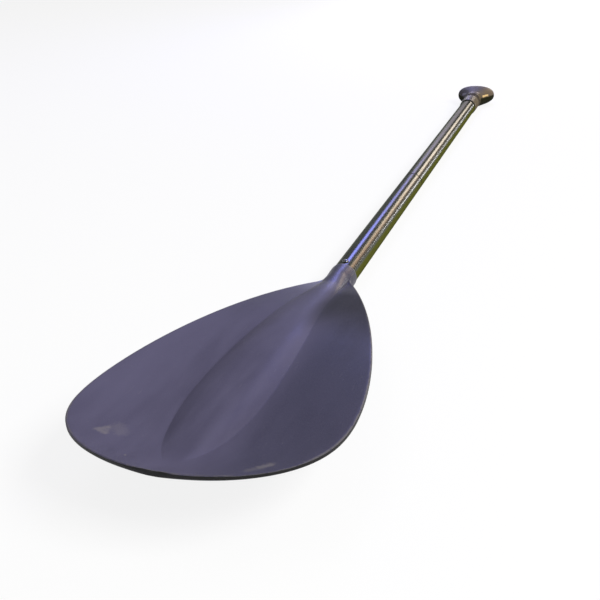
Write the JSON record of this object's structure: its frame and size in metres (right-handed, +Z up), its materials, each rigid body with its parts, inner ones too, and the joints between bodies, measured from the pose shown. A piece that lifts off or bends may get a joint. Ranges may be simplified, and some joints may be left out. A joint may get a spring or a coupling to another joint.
{
  "type": "stand-up paddleboard paddle",
  "caption": "Take-apart stand-up paddle: ribbed cupped blade on a round neck, straight tube shaft in sections with a snap button, and an oval palm grip.",
  "frame": {"origin": "below the middle of the paddle's box, on the surface that it lies on face up", "axes": "+X along the shaft towards the grip, +Z up out of the blade's ribbed face, +Y across the blade"},
  "size_m": [1.4612, 0.2234, 0.0627],
  "materials": {
    "blade_plastic": "satin black moulded plastic with a fine grain and light scuffs",
    "shaft_gloss": "high-gloss black lacquered tube",
    "ferrule_alloy": "plain drawn tube",
    "button_steel": "polished stainless steel",
    "spring_steel": "plain spring steel strip",
    "plug_rubber": "closed-cell foam rubber",
    "grip_plastic": "glossy dark grey-black moulded plastic"
  },
  "bodies": {
    "lower_section": {"blade": "blade_plastic", "neck_ferrule": "ferrule_alloy", "neck_ferrule_plug": "plug_rubber", "neck_button_spring": "spring_steel", "lower_shaft": "shaft_gloss", "lower_shaft_bottom_plug": "plug_rubber", "lower_shaft_top_plug": "plug_rubber"},
    "snap_button": {"neck_button": "button_steel"},
    "upper_section": {"mid_ferrule": "ferrule_alloy", "mid_ferrule_plug": "plug_rubber", "upper_shaft": "shaft_gloss", "palm_grip": "grip_plastic"}
  },
  "joints": [
    {"name": "button_press", "type": "slide", "parent": "lower_section", "child": "snap_button", "axis": [0, 0, -1], "range_m": [0, 0.0039], "stiffness_N_per_m": 1500, "springref_m": -0.001, "deforming": ["neck_button_spring"]},
    {"name": "upper_section_slide", "type": "slide", "parent": "lower_section", "child": "upper_section", "axis": [1, 0, 0], "range_m": [0, 0.078]}
  ]
}
